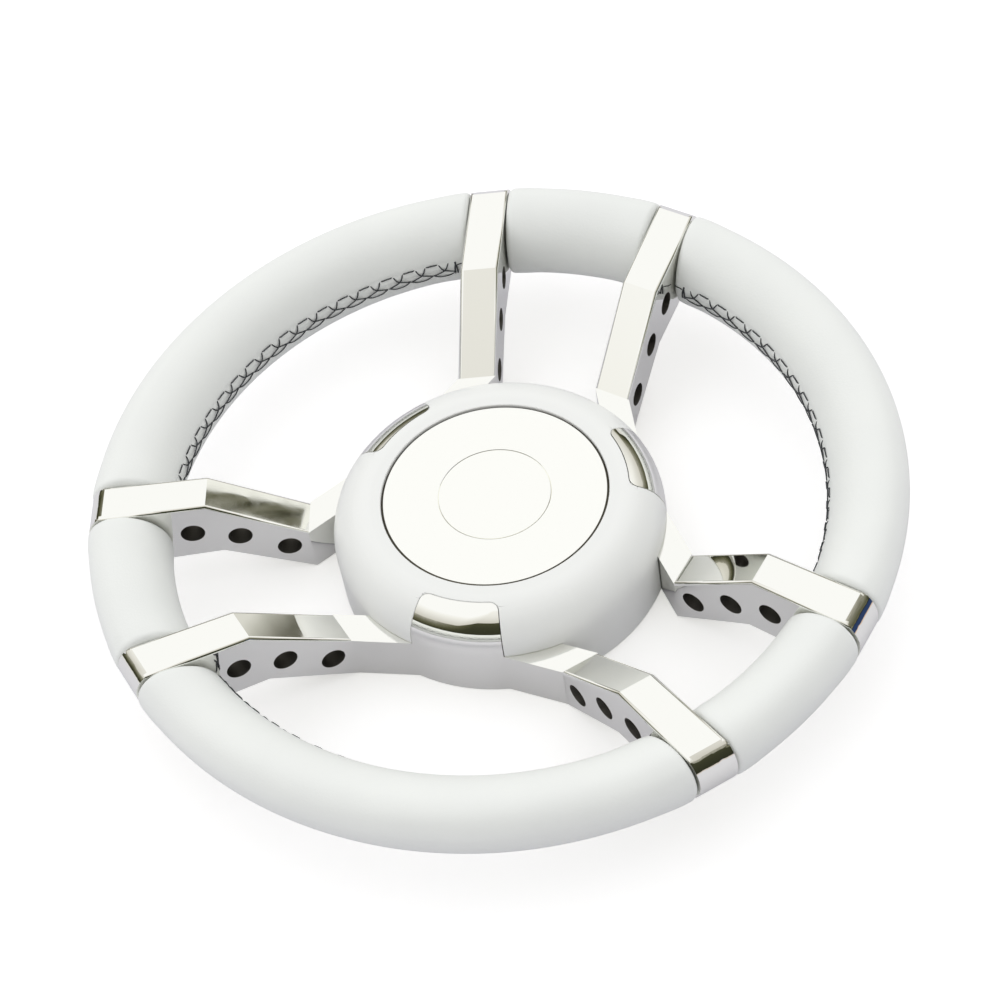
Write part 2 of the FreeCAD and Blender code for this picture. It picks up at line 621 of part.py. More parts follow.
def make_cap():
    """Moulded cap: flat plate under the disc, domed shoulder, skirt, three notches for the lugs."""
    body = new_body("hub_cap")
    section = new_sketch(body, "cap_section", "YZ_Plane")
    lip = "(disc_radius + seam_gap / 2)"
    centre = (DOME_INSET, DOME_FOOT)
    draw_outline(section, [
        ("0", f"{DISC_SEAT} - floor_thickness"), (f"{lip} + cap_wall", f"{DISC_SEAT} - floor_thickness"),
        (f"{lip} + cap_wall", "dome_height - cap_wall"), (DOME_INSET, "dome_height - cap_wall"),
        ("hub_radius - cap_wall", DOME_FOOT), ("hub_radius - cap_wall", "cap_lift"),
        ("hub_radius", "cap_lift"), ("hub_radius", DOME_FOOT), (DOME_INSET, "dome_height"),
        (f"{lip} + edge_break", "dome_height"), (lip, "dome_height - edge_break"),
        (lip, DISC_SEAT), ("0", DISC_SEAT),
    ], arcs={3: (centre, "(dome_radius - cap_wall)", -1), 7: (centre, "dome_radius", 1)})
    turned(body, "Revolution", "cap_shell", section)

    notch = new_sketch(body, "notch_section", "YZ_Plane")
    notch_inner, notch_outer = "(lug_reach - seam_gap)", f"(hub_radius + {CLEAR})"
    draw_outline(notch, [
        (f"-{notch_inner}", f"-{CLEAR}"), (f"-{notch_outer}", f"-{CLEAR}"),
        (f"-{notch_outer}", f"dome_height + {CLEAR}"),
        (f"-{notch_inner}", f"dome_height + {CLEAR}"),
    ])
    cut = turned(body, "Groove", "notch", notch, angle=f"2 * {NOTCH_HALF}", middle=True)
    pattern(body, "three_notches", [cut])

    slot = new_sketch(body, "root_slot_plan", "XY_Plane")
    slot_angle = f"({ROOT_ANGLE} + lug_half_angle / 2)"
    draw_outline(slot, [
        root_inner_wall("-0.5", "seam_gap"), root_inner_wall("1.5", "seam_gap"),
        polar_point(f"(hub_radius - {2 * CLEAR})", slot_angle),
        polar_point(f"(hub_radius + {2 * CLEAR})", slot_angle),
    ])
    cut = add_feature(
        body, "Pocket", "root_slot", slot, Length="valley_height + fit_gap", Reversed=True)
    mirror_and_pattern(body, "root_slots", [cut])

    seat = new_sketch(body, "screw_seat_section", "YZ_Plane", along={"x": "-post_circle"})
    floor_under = f"({DISC_SEAT} - floor_thickness)"
    draw_outline(seat, [
        ("0", f"{floor_under} - {CAST_IN}"), ("screw_radius + fit_gap", f"{floor_under} - {CAST_IN}"),
        ("screw_radius + fit_gap", SCREW_NECK), ("screw_head + fit_gap", f"{SCREW_TOP}"),
        ("screw_head + fit_gap", f"{DISC_SEAT} + {CAST_IN / 2}"), ("0", f"{DISC_SEAT} + {CAST_IN / 2}"),
    ])
    cut = turned(body, "Groove", "screw_seat", seat)
    pattern(body, "screw_seats", [cut])
    round_edges(body, "notch_corners", "lug_corner + seam_gap", is_notch_corner)
    return body


NOTCH_HALF = f"(lug_half_angle + seam_gap / hub_radius * 180 / {math.pi})"
SCREW_TOP = f"({DISC_SEAT} - 2 * fit_gap)"
SCREW_NECK = f"({SCREW_TOP} - screw_head + screw_radius)"


def is_notch_corner(place):
    """True on the short upright edges at the inner corners of the three notches."""
    reach = math.hypot(place.x, place.y)
    angle = math.degrees(math.atan2(place.x, -place.y)) % (360 / PAIRS)
    off_side = min(abs(angle - number(NOTCH_HALF)), abs(360 / PAIRS - angle - number(NOTCH_HALF)))
    return abs(reach - number("lug_reach - seam_gap")) < NEAR and off_side < NEAR


def make_screws():
    """Three countersunk screws with hexagon sockets, hidden by the disc."""
    body = new_body("cap_screws")
    body.AllowCompound = True
    section = new_sketch(body, "screw_section", "YZ_Plane", along={"x": "-post_circle"})
    tip = f"({POST_TOP} - screw_depth)"
    draw_outline(section, [
        ("0", tip), ("screw_radius - edge_break", tip), ("screw_radius", f"{tip} + edge_break"),
        ("screw_radius", SCREW_NECK), ("screw_head", SCREW_TOP), ("0", SCREW_TOP),
    ])
    turned(body, "Revolution", "screw", section)
    socket = new_sketch(body, "socket_plan", "XY_Plane", along={"z": SCREW_TOP, "y": "-post_circle"})
    draw_outline(socket, [polar_point("socket_radius", str(60 * side)) for side in range(6)])
    add_feature(body, "Pocket", "socket", socket, Length="socket_depth")
    pattern(body, "three_screws")
    return body


def make_disc():
    """Polished disc with a round window for the medallion."""
    body = new_body("cap_disc")
    section = new_sketch(body, "disc_section", "YZ_Plane")
    inner, base = "(medallion_radius + fit_gap)", f"({DISC_TOP} - disc_thickness)"
    draw_outline(section, [
        (inner, base), ("disc_radius", base), ("disc_radius", f"{DISC_TOP} - edge_break"),
        ("disc_radius - edge_break", DISC_TOP), (f"{inner} + edge_break", DISC_TOP),
        (inner, f"{DISC_TOP} - edge_break"),
    ])
    turned(body, "Revolution", "disc", section)
    return body


def make_medallion():
    """Plain round plate in the middle of the disc."""
    body = new_body("centre_medallion")
    section = new_sketch(body, "medallion_section", "YZ_Plane")
    base, top = f"({DISC_TOP} - disc_thickness)", f"({DISC_TOP} - fit_gap)"
    draw_outline(section, [
        ("0", base), ("medallion_radius", base), ("medallion_radius", top), ("0", top),
    ])
    turned(body, "Revolution", "medallion", section)
    return body


nodes = [make_spider(), make_ring(), make_cap(), make_screws(), make_disc(), make_medallion()]
thread = lacing_shape()
for copy in range(PAIRS):
    turn = 360.0 / PAIRS * copy
    nodes += make_grip(f"short_{copy + 1}", SHORT_SLOPE, SHORT_SIDE, turn)
    nodes += make_grip(f"long_{copy + 1}", LONG_SLOPE, LONG_SIDE, turn + 180.0 / PAIRS)
    lacing = doc.addObject("Part::Feature", f"lacing_long_{copy + 1}")
    lacing.Label = lacing.Name
    lacing.Shape = thread.copy()
    lacing.Placement = Placement(Vector(0, 0, 0), Rotation(Vector(0, 0, 1), turn + 180.0 / PAIRS))
    nodes.append(lacing)

for item in doc.Objects:
    faults = [word for word in item.State if "Invalid" in word or "Error" in word]
    if faults:
        raise RuntimeError(f"{item.Name} failed: {faults}")
for node in nodes:
    if node.Shape.isNull() or not node.Shape.isValid() or not node.Shape.Solids:
        raise RuntimeError(f"{node.Label} has no valid solid")
    node.Shape.exportStep(f"parts/{node.Label}.step")
    print(node.Label, len(node.Shape.Solids), "solids", round(node.Shape.Volume, 1), "mm3")
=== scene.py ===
import json
import math

import bmesh
import bpy
import numpy as np
from mathutils import Matrix, Vector


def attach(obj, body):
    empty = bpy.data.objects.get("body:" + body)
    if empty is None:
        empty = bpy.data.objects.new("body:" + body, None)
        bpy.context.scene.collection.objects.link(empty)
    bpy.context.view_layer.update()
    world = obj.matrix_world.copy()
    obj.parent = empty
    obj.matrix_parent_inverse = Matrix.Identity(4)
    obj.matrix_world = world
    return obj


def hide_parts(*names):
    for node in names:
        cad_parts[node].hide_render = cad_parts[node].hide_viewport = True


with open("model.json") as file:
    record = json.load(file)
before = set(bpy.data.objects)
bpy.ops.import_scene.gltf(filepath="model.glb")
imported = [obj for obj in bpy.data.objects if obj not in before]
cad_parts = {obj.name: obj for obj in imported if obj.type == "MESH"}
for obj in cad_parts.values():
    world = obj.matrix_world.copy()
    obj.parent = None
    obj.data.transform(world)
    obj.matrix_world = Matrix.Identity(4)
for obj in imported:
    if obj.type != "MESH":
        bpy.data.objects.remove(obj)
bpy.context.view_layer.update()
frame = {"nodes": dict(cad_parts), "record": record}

# Sizes in metres and degrees, in the wheel's frame: origin at the hub's back face, +Z to the
# person who steers, +Y through the middle of one pair of spokes.
RIM_RADIUS = 0.15803        # middle of the rim's oval section
RIM_HEIGHT = 0.0395
END_SHIFT = 0.0074          # the oval's end arcs lie this far from its middle
END_RADIUS = 0.0120
SIDE_SHIFT = 0.007282       # and its side arcs this far, across it
SIDE_RADIUS = 0.022382
LEAN = math.radians(48.0)   # the long diameter leans outwards at its upper end
PAIR_TURNS = (0.0, 120.0, 240.0)
LONG_SLOPE = math.radians(60.0 - 8.45)
LONG_SIDE = 0.0285
SHORT_SLOPE = math.radians(8.45)
SHORT_SIDE = -0.0108
GRIP_GAP = 0.0002           # dark line between leather and spoke
SEAM_SLOPE = math.radians(5.0)
BAND_HALF = math.radians(9.46)
LACING_REACH = math.radians(35.4)
CROSSES = 17
THREAD = 0.00031
SPOKE_SPLAY = math.radians(8.45)    # between a spoke and the middle line of its pair
SPOKE_SKEW = math.radians(7.14)     # its folds and holes lean this much from square to it
SPOKE_OFFSET = 0.01965
CROWN = (0.1660, 0.0559)            # reach and height at which its flat top meets the collar's round
HOLES = ((0.0914, 0.0165), (0.1109, 0.0290), (0.1304, 0.0360))
HOLE_RADIUS = 0.0053
DISC_TOP = 0.0422
DISC_BASE = 0.0410
DISC_RADIUS = 0.0490
DISC_BORE = 0.02415                 # the centre medallion lies in it
BORE_CHAMFER = (0.00035, 0.00045)   # width and depth
RIM_CHAMFER = (0.00090, 0.00070)


# ---------------------------------------------------------------- small helpers

def linear(code):
    """sRGB hex colour as linear red, green, blue and 1."""
    parts = [int(code[i:i + 2], 16) / 255 for i in (1, 3, 5)]
    return [p / 12.92 if p <= 0.04045 else ((p + 0.055) / 1.055) ** 2.4 for p in parts] + [1.0]


def add_node(tree, kind, inputs=None, **settings):
    """A shader node with its settings; inputs maps a socket to a value or to another socket."""
    node = tree.nodes.new(kind)
    for name, value in settings.items():
        setattr(node, name, value)
    for socket, value in (inputs or {}).items():
        if isinstance(value, bpy.types.NodeSocket):
            tree.links.new(value, node.inputs[socket])
        else:
            node.inputs[socket].default_value = value
    return node


def new_material(name):
    """Empty node material with an output; returns it, its tree and the output."""
    material = bpy.data.materials.new(name)
    material.use_nodes = True
    tree = material.node_tree
    tree.nodes.clear()
    return material, tree, tree.nodes.new("ShaderNodeOutputMaterial")


def mesh_object(name, places, faces, smooth=True):
    """Object at the origin from arrays of places and of faces with equal corner counts."""
    mesh = bpy.data.meshes.new(name)
    places = np.asarray(places, np.float32).reshape(-1, 3)
    faces = np.asarray(faces, np.int32)
    mesh.vertices.add(len(places))
    mesh.vertices.foreach_set("co", places.ravel())
    mesh.loops.add(faces.size)
    mesh.loops.foreach_set("vertex_index", faces.ravel())
    mesh.polygons.add(len(faces))
    mesh.polygons.foreach_set("loop_start", np.arange(len(faces), dtype=np.int32) * faces.shape[1])
    mesh.update(calc_edges=True)
    mesh.validate()
    mesh.polygons.foreach_set("use_smooth", np.full(len(mesh.polygons), smooth))
    made = bpy.data.objects.new(name, mesh)
    bpy.context.scene.collection.objects.link(made)
    return made


def grid_faces(rows, columns, closed_columns=True, closed_rows=False, start=0):
    """Four-cornered faces of a grid of points, row by row, that may close on itself."""
    r = np.arange(rows if closed_rows else rows - 1)
    c = np.arange(columns if closed_columns else columns - 1)
    r, c = [part.ravel() for part in np.meshgrid(r, c, indexing="ij")]
    below, right = (r + 1) % rows, (c + 1) % columns
    return start + np.stack([r * columns + c, r * columns + right, below * columns + right,
                             below * columns + c], 1)


def turn_about_axis(places, degrees):
    """Places turned about the wheel's axis."""
    angle = math.radians(degrees)
    matrix = np.array([[math.cos(angle), -math.sin(angle), 0],
                       [math.sin(angle), math.cos(angle), 0], [0, 0, 1]])
    return places @ matrix.T


# ---------------------------------------------------------------- the rim's section

def oval(normal, inset=0.0):
    """Point of the rim's oval section at which the surface faces a given way.

    normal is the angle from straight outwards, towards +Z. The section is four arcs that meet
    tangentially, so the point is the arc's centre plus its radius along the normal, and an oval
    drawn in by an inset keeps the centres. Returns the offsets outwards and upwards.
    """
    away = np.mod(normal - LEAN + np.pi, 2 * np.pi) - np.pi
    limit = math.atan2(SIDE_SHIFT, END_SHIFT)
    upper_end, lower_end = np.abs(away) <= limit, np.abs(away) >= np.pi - limit
    end = np.where(upper_end, 1.0, np.where(lower_end, -1.0, 0.0))
    side = np.where(end == 0, np.where(away > 0, 1.0, -1.0), 0.0)
    radius = np.where(end == 0, SIDE_RADIUS, END_RADIUS) - inset
    out = end * END_SHIFT * math.cos(LEAN) + side * SIDE_SHIFT * math.sin(LEAN)
    up = end * END_SHIFT * math.sin(LEAN) - side * SIDE_SHIFT * math.cos(LEAN)
    return out + radius * np.cos(normal), up + radius * np.sin(normal)


def on_rim(along, normal, inset=0.0):
    """Places on the rim, along it from +Y towards +X, facing a given way, drawn in by an inset."""
    out, up = oval(normal, inset)
    radius = RIM_RADIUS + out
    return np.stack([radius * np.sin(along), radius * np.cos(along),
                     RIM_HEIGHT + up + np.zeros_like(radius * along)], -1)


def ripple(along, around, seed, waves, low, high):
    """Sum of sine waves with seeded directions and phases, from -1 to 1: uneven, and the same each time."""
    chance = np.random.default_rng(seed)
    total = 0
    for _ in range(waves):
        a, b = chance.uniform(low, high, 2) * chance.choice([-1, 1], 2)
        total = total + np.sin(a * along + np.round(b) * around + chance.uniform(0, 2 * np.pi))
    return total / waves


def leather_cover(name, slope, side, turn, seed, laced):
    """Leather cover of one grip.

    The surface is the oval section carried along the rim between two planes that are parallel to
    the spokes. Near each end it follows a quarter circle in, and a second, smaller turn takes it
    down to the ring. Displacement: the leather swells a little beside its ends, where it is
    pulled round the foam, thins into shallow puckers there, and sinks along its laced seam.
    """
    across = side + GRIP_GAP
    corner = 0.0027
    turns = np.linspace(np.pi / 2, 0, 9)
    back = np.concatenate([[0.0], corner * (1 - np.sin(turns))])
    depth = np.concatenate([[0.0068], corner * (1 - np.cos(turns))])
    middle = np.linspace(0, 1, 150 if laced else 56)[1:-1]
    columns = 160
    normal = np.linspace(0, 2 * np.pi, columns, endpoint=False)[None, :]

    def end_angle(distance, inset):
        out, _ = oval(normal, inset)
        return slope - np.arcsin((across + distance) / (RIM_RADIUS + out))

    near_rows = [(end_angle(b, d), np.full((1, columns), d)) for b, d in zip(back, depth)]
    limit = end_angle(corner, 0.0)
    rows = [(-angle, inset) for angle, inset in near_rows]
    rows += [(-limit + 2 * limit * share, np.zeros((1, columns))) for share in middle]
    rows += near_rows[::-1]
    along = np.concatenate([angle for angle, _ in rows])
    inset = np.concatenate([value for _, value in rows])

    from_end = np.clip((limit - np.abs(along)) * RIM_RADIUS, 0, None)
    outer = np.clip(1 - inset / 0.004, 0, 1)
    swell = 0.00025 * np.exp(-((from_end - 0.004) / 0.006) ** 2)
    folds = ripple(along * 0.6, normal, seed, 5, 5, 13) * 0.00012 * np.exp(-from_end / 0.009)
    unevenness = ripple(along, normal, seed + 7, 6, 2, 9) * 0.00010
    rise = swell + folds + unevenness
    if laced:
        slope_here = np.pi - normal
        gap = np.mod(slope_here - SEAM_SLOPE + np.pi, 2 * np.pi) - np.pi
        away = gap * SIDE_RADIUS
        pull = np.cos((np.abs(along) - LACING_REACH) / (2 * LACING_REACH / (CROSSES - 1)) * 2 * np.pi)
        rise = rise - 0.00042 * np.exp(-(away / 0.0007) ** 2)
        rise = rise - (0.00022 + 0.00010 * pull) * np.exp(-((np.abs(away) - 0.0036) / 0.0011) ** 2)
        rise = rise + 0.00010 * np.exp(-(away / 0.003) ** 2)
    places = on_rim(along, normal + np.zeros_like(along), inset - rise * outer)
    return mesh_object(name, turn_about_axis(places.reshape(-1, 3), turn),
                       grid_faces(len(rows), columns)[:, ::-1])


def lathed(name, outline, columns=256):
    """Body turned about the wheel's axis from a closed outline of radii and heights, outside to the right."""
    outline = np.asarray(outline)
    angle = np.linspace(0, 2 * np.pi, columns, endpoint=False)[None, :]
    radius, height = outline[:, :1], outline[:, 1:]
    places = np.stack([radius * np.cos(angle), radius * np.sin(angle), height + 0 * angle], -1)
    return mesh_object(name, places, grid_faces(len(outline), columns, closed_rows=True)[:, ::-1])


def mirror_disc():
    """Polished disc of the cap: a flat ring with a chamfer at its bore and at its rim."""
    bore, rim = BORE_CHAMFER, RIM_CHAMFER
    outline = [(DISC_BORE, DISC_BASE), (DISC_BORE, DISC_TOP - bore[1]), (DISC_BORE + bore[0], DISC_TOP),
               (DISC_RADIUS - rim[0], DISC_TOP), (DISC_RADIUS, DISC_TOP - rim[1]), (DISC_RADIUS, DISC_BASE)]
    disc = lathed("mirror_disc", outline[::-1])
    disc.data.set_sharp_from_angle(angle=math.radians(25))
    return disc


def tube(path, radius, sides=8, taper=True):
    """Places and faces of a round tube along a path of points.

    Each ring of the tube is a circle across the path, set in the frame of the path's direction
    and a fixed upright that is never along it; the first and last rings shrink to a rounded end.
    """
    path = np.asarray(path)
    run = np.gradient(path, axis=0)
    run /= np.linalg.norm(run, axis=1, keepdims=True)
    axis = np.cross(run, np.array([0.23, 0.31, 0.92]))
    axis /= np.linalg.norm(axis, axis=1, keepdims=True)
    other = np.cross(run, axis)
    angle = np.linspace(0, 2 * np.pi, sides, endpoint=False)
    width = np.full(len(path), radius)
    if taper:
        width[[0, -1]] = radius * 0.35
    rings = path[:, None] + width[:, None, None] * (
        np.cos(angle)[None, :, None] * axis[:, None] + np.sin(angle)[None, :, None] * other[:, None])
    faces = grid_faces(len(path), sides)
    return rings.reshape(-1, 3), faces


def smooth_path(points, steps=6):
    """Catmull-Rom curve through points, several steps to each run."""
    points = np.asarray(points, float)
    padded = np.concatenate([[2 * points[0] - points[1]], points, [2 * points[-1] - points[-2]]])
    share = np.linspace(0, 1, steps, endpoint=False)[None, :, None]
    p0, p1, p2, p3 = [padded[i:len(padded) - 3 + i, None] for i in range(4)]
    curve = 0.5 * (2 * p1 + (p2 - p0) * share + (2 * p0 - 5 * p1 + 4 * p2 - p3) * share ** 2
                   + (3 * p1 - p0 - 3 * p2 + p3) * share ** 3)
    return np.concatenate([curve.reshape(-1, points.shape[1]), points[-1:]])


def lacing(name, turn, seed):
    """Waxed thread of one long grip's seam.

    Paths are drawn on the leather in steps along the rim and shares of the band's half width, and
    lifted off it by half a thread; each dives into its hole at both ends. Crosses run from two
    upper holes to the points where they meet their neighbours, with straight stitches between
    them above and slack loops below, and a knotted bar closes each end.
    """
    chance = np.random.default_rng(seed)
    step = 2 * LACING_REACH / (CROSSES - 1)
    places, faces, count = [], [], 0

    def lay(points, radius=THREAD, dive=(True, True), lift=1.0):
        nonlocal count
        curve = smooth_path(points)
        share = np.linspace(0, 1, len(curve))
        height = np.full(len(curve), radius * lift)
        if dive[0]:
            height -= 2.4 * radius * np.exp(-(share * 9) ** 2)
        if dive[1]:
            height -= 2.4 * radius * np.exp(-((1 - share) * 9) ** 2)
        normal = np.pi - (SEAM_SLOPE + curve[:, 1] * BAND_HALF)
        path = on_rim(curve[:, 0], normal, -height)
        ring, quads = tube(path, radius)
        places.append(ring)
        faces.append(quads + count)
        count += len(ring)

    for cross in range(CROSSES):
        middle = cross * step - LACING_REACH + chance.normal(0, step * 0.012)
        low = -0.45 + chance.normal(0, 0.04)
        for hand in (-step, step):
            lay([(middle + hand * 0.22, 0.98), (middle + hand * 0.04, 0.12), (middle - hand * 0.22, -0.22),
                 (middle - hand * 0.5, low)], dive=(True, False), lift=1.0 + 0.9 * (hand > 0))
        lay([(middle - step / 2, low), (middle - step * 0.22, -0.9), (middle, -1.0),
             (middle + step * 0.22, -0.9), (middle + step / 2, low)], radius=THREAD * 0.85, dive=(False, False))
        if cross:
            lay([(middle - step * 0.76, 1.0), (middle - step * 0.5, 1.06), (middle - step * 0.24, 1.0)])
    for hand in (-1, 1):
        end = hand * (LACING_REACH + step / 2)
        for shift in (-0.05, 0.05):
            lay([(end + shift * step, -0.95), (end + shift * step, 0.0), (end - shift * step * 0.6, 1.1)],
                radius=THREAD * 1.25, lift=1.3)
        lay([(end, 0.45), (end + hand * step * 0.2, 0.62), (end + hand * step * 0.48, 0.55)], radius=THREAD * 0.9)
    return mesh_object(name, turn_about_axis(np.concatenate(places), turn), np.concatenate(faces)[:, ::-1])


# ---------------------------------------------------------------- materials

def polished_stainless():
    """AISI 316 casting, ground and buffed on wheels: a mirror with faint long waves and fine scratches.

    The walls of its holes are rougher and darker in colour; the attribute bored is 1 on them.
    """
    material, tree, output = new_material("mirror_polished_316_stainless")
    place = add_node(tree, "ShaderNodeTexCoord").outputs["Object"]
    bored = add_node(tree, "ShaderNodeAttribute", attribute_name="bored").outputs["Fac"]
    waves = add_node(tree, "ShaderNodeTexNoise", {"Vector": place, "Scale": 45.0, "Detail": 1.0})
    haze = add_node(tree, "ShaderNodeTexNoise", {"Vector": place, "Scale": 160.0, "Detail": 3.0})
    polish = add_node(tree, "ShaderNodeMapRange", {0: haze.outputs["Fac"], 1: 0.3, 2: 0.7, 3: 0.012, 4: 0.028})
    rough = add_node(tree, "ShaderNodeMix", {0: bored, 2: polish.outputs[0], 3: 0.55})
    colour = add_node(tree, "ShaderNodeMix", {0: bored, 6: linear("#fafaf5"), 7: linear("#77746e")}, data_type="RGBA")
    bump = add_node(tree, "ShaderNodeBump", {"Height": waves.outputs["Fac"], "Strength": 0.02, "Distance": 0.0006})
    metal = add_node(tree, "ShaderNodeBsdfPrincipled", {
        "Base Color": colour.outputs[2], "Metallic": 1.0, "Roughness": rough.outputs[0],
        "Normal": bump.outputs[0]})
    tree.links.new(metal.outputs[0], output.inputs[0])
    return material


def plain_steel():
    """Drawn stainless tube and screws, satin, hidden inside the rim and the hub."""
    material, tree, output = new_material("drawn_stainless")
    place = add_node(tree, "ShaderNodeTexCoord").outputs["Object"]
    haze = add_node(tree, "ShaderNodeTexNoise", {"Vector": place, "Scale": 400.0, "Detail": 2.0})
    rough = add_node(tree, "ShaderNodeMapRange", {0: haze.outputs["Fac"], 3: 0.25, 4: 0.4})
    metal = add_node(tree, "ShaderNodeBsdfPrincipled", {
        "Base Color": linear("#c9c8c4"), "Metallic": 1.0, "Roughness": rough.outputs[0]})
    tree.links.new(metal.outputs[0], output.inputs[0])
    return material


def mirror_sheet():
    """Polished sheet of the disc and the medallion: the brightest, flattest mirror on the wheel.

    The chamfer at the disc's rim is rougher and painted dark: a painted shade line that stands in for the shadowed
    groove between the disc and the cap.
    """
    material, tree, output = new_material("mirror_finish_sheet")
    place = add_node(tree, "ShaderNodeTexCoord").outputs["Object"]
    waves = add_node(tree, "ShaderNodeTexNoise", {"Vector": place, "Scale": 14.0, "Detail": 1.0})
    bump = add_node(tree, "ShaderNodeBump", {"Height": waves.outputs["Fac"], "Strength": 0.12, "Distance": 0.0006})
    haze = add_node(tree, "ShaderNodeTexNoise", {"Vector": place, "Scale": 60.0, "Detail": 2.0})
    rough = add_node(tree, "ShaderNodeMapRange", {0: haze.outputs["Fac"], 3: 0.06, 4: 0.12})
    flat = add_node(tree, "ShaderNodeVectorMath", {0: place, 1: (1.0, 1.0, 0.0)}, operation="MULTIPLY")
    radius = add_node(tree, "ShaderNodeVectorMath", {0: flat.outputs[0]}, operation="LENGTH")
    # Painted shade: past the chamfer's inner edge the disc turns dark and rough, a painted dark line for the groove's
    # shadow at the cap.
    painted_shade_rim = add_node(tree, "ShaderNodeMath", {0: radius.outputs["Value"], 1: DISC_RADIUS - RIM_CHAMFER[0]},
                      operation="GREATER_THAN").outputs[0]
    dull = add_node(tree, "ShaderNodeMix", {0: painted_shade_rim, 2: rough.outputs[0], 3: 0.35})
    colour = add_node(tree, "ShaderNodeMix", {0: painted_shade_rim, 6: linear("#fdfdf8"), 7: linear("#625e53")}, data_type="RGBA")
    metal = add_node(tree, "ShaderNodeBsdfPrincipled", {
        "Base Color": colour.outputs[2], "Metallic": 1.0, "Roughness": dull.outputs[0],
        "Normal": bump.outputs[0]})
    tree.links.new(metal.outputs[0], output.inputs[0])
    return material


def white_leather():
    """Marine leather, white, close-grained and waxed: soft sheen over a pebble grain of about 1 mm."""
    material, tree, output = new_material("white_marine_leather")
    place = add_node(tree, "ShaderNodeTexCoord").outputs["Object"]
    grain = add_node(tree, "ShaderNodeTexVoronoi", {"Vector": place, "Scale": 900.0})
    pores = add_node(tree, "ShaderNodeTexNoise", {"Vector": place, "Scale": 1500.0, "Detail": 3.0})
    tone = add_node(tree, "ShaderNodeTexNoise", {"Vector": place, "Scale": 26.0, "Detail": 2.0})
    height = add_node(tree, "ShaderNodeMath", {0: grain.outputs["Distance"], 1: pores.outputs["Fac"]}, operation="ADD")
    bump = add_node(tree, "ShaderNodeBump", {"Height": height.outputs[0], "Strength": 0.12, "Distance": 0.0003})
    colour = add_node(tree, "ShaderNodeMix", {
        0: tone.outputs["Fac"], 6: linear("#f3f5f2"), 7: linear("#eceeec")}, data_type="RGBA")
    rough = add_node(tree, "ShaderNodeMapRange", {0: tone.outputs["Fac"], 3: 0.42, 4: 0.52})
    skin = add_node(tree, "ShaderNodeBsdfPrincipled", {
        "Base Color": colour.outputs[2], "Roughness": rough.outputs[0], "IOR": 1.48,
        "Normal": bump.outputs[0]})
    tree.links.new(skin.outputs[0], output.inputs[0])
    return material


def white_moulding():
    """Moulded ASA cap, white, spark-eroded to a satin: a broad soft highlight and no grain from a step away."""
    material, tree, output = new_material("white_moulded_asa")
    place = add_node(tree, "ShaderNodeTexCoord").outputs["Object"]
    spark = add_node(tree, "ShaderNodeTexNoise", {"Vector": place, "Scale": 2200.0, "Detail": 2.0})
    tone = add_node(tree, "ShaderNodeTexNoise", {"Vector": place, "Scale": 9.0, "Detail": 1.0})
    bump = add_node(tree, "ShaderNodeBump", {"Height": spark.outputs["Fac"], "Strength": 0.05, "Distance": 0.0001})
    rough = add_node(tree, "ShaderNodeMapRange", {0: tone.outputs["Fac"], 3: 0.3, 4: 0.36})
    shell = add_node(tree, "ShaderNodeBsdfPrincipled", {
        "Base Color": linear("#f3f4f2"), "Roughness": rough.outputs[0], "IOR": 1.5,
        "Normal": bump.outputs[0]})
    tree.links.new(shell.outputs[0], output.inputs[0])
    return material


def waxed_thread():
    """Charcoal waxed polyester thread: a fine twist and a dull shine."""
    material, tree, output = new_material("charcoal_waxed_thread")
    place = add_node(tree, "ShaderNodeTexCoord").outputs["Object"]
    twist = add_node(tree, "ShaderNodeTexWave", {"Vector": place, "Scale": 420.0, "Distortion": 1.0})
    bump = add_node(tree, "ShaderNodeBump", {"Height": twist.outputs["Fac"], "Strength": 0.5, "Distance": 0.0001})
    colour = add_node(tree, "ShaderNodeMix", {
        0: twist.outputs["Fac"], 6: linear("#2b2d30"), 7: linear("#4a4d51")}, data_type="RGBA")
    fibre = add_node(tree, "ShaderNodeBsdfPrincipled", {
        "Base Color": colour.outputs[2], "Roughness": 0.6, "Normal": bump.outputs[0]})
    tree.links.new(fibre.outputs[0], output.inputs[0])
    return material


def rim_foam():
    """Integral-skin foam under the leather, grey and closed-cell."""
    material, tree, output = new_material("integral_skin_foam")
    place = add_node(tree, "ShaderNodeTexCoord").outputs["Object"]
    cells = add_node(tree, "ShaderNodeTexVoronoi", {"Vector": place, "Scale": 700.0})
    bump = add_node(tree, "ShaderNodeBump", {"Height": cells.outputs["Distance"], "Strength": 0.3, "Distance": 0.0003})
    foam = add_node(tree, "ShaderNodeBsdfPrincipled", {
        "Base Color": linear("#8a8c8e"), "Roughness": 0.8, "Normal": bump.outputs[0]})
    tree.links.new(foam.outputs[0], output.inputs[0])
    return material


def pale_floor():
    """Matt white studio table that the camera sees as white outside the wheel's faint shadow."""
    material, tree, output = new_material("white_studio_table")
    path = add_node(tree, "ShaderNodeLightPath")
    table = add_node(tree, "ShaderNodeBsdfDiffuse", {"Color": linear("#dfdee4")})
    lift = add_node(tree, "ShaderNodeMath", {0: path.outputs["Is Camera Ray"], 1: 0.45}, operation="MULTIPLY")
    glow = add_node(tree, "ShaderNodeEmission", {"Color": linear("#fffff6"), "Strength": lift.outputs[0]})
    both = add_node(tree, "ShaderNodeAddShader", {0: table.outputs[0], 1: glow.outputs[0]})
    tree.links.new(both.outputs[0], output.inputs[0])
    return material


# ---------------------------------------------------------------- pieces

MATERIALS = {
    "polished_stainless": polished_stainless(),
    "plain_stainless": plain_steel(),
    "mirror_disc": mirror_sheet(),
    "white_plastic": white_moulding(),
    "white_leather": white_leather(),
    "dark_thread": waxed_thread(),
    "rim_foam": rim_foam(),
}
MATERIALS["mirror_medallion"] = MATERIALS["mirror_disc"]

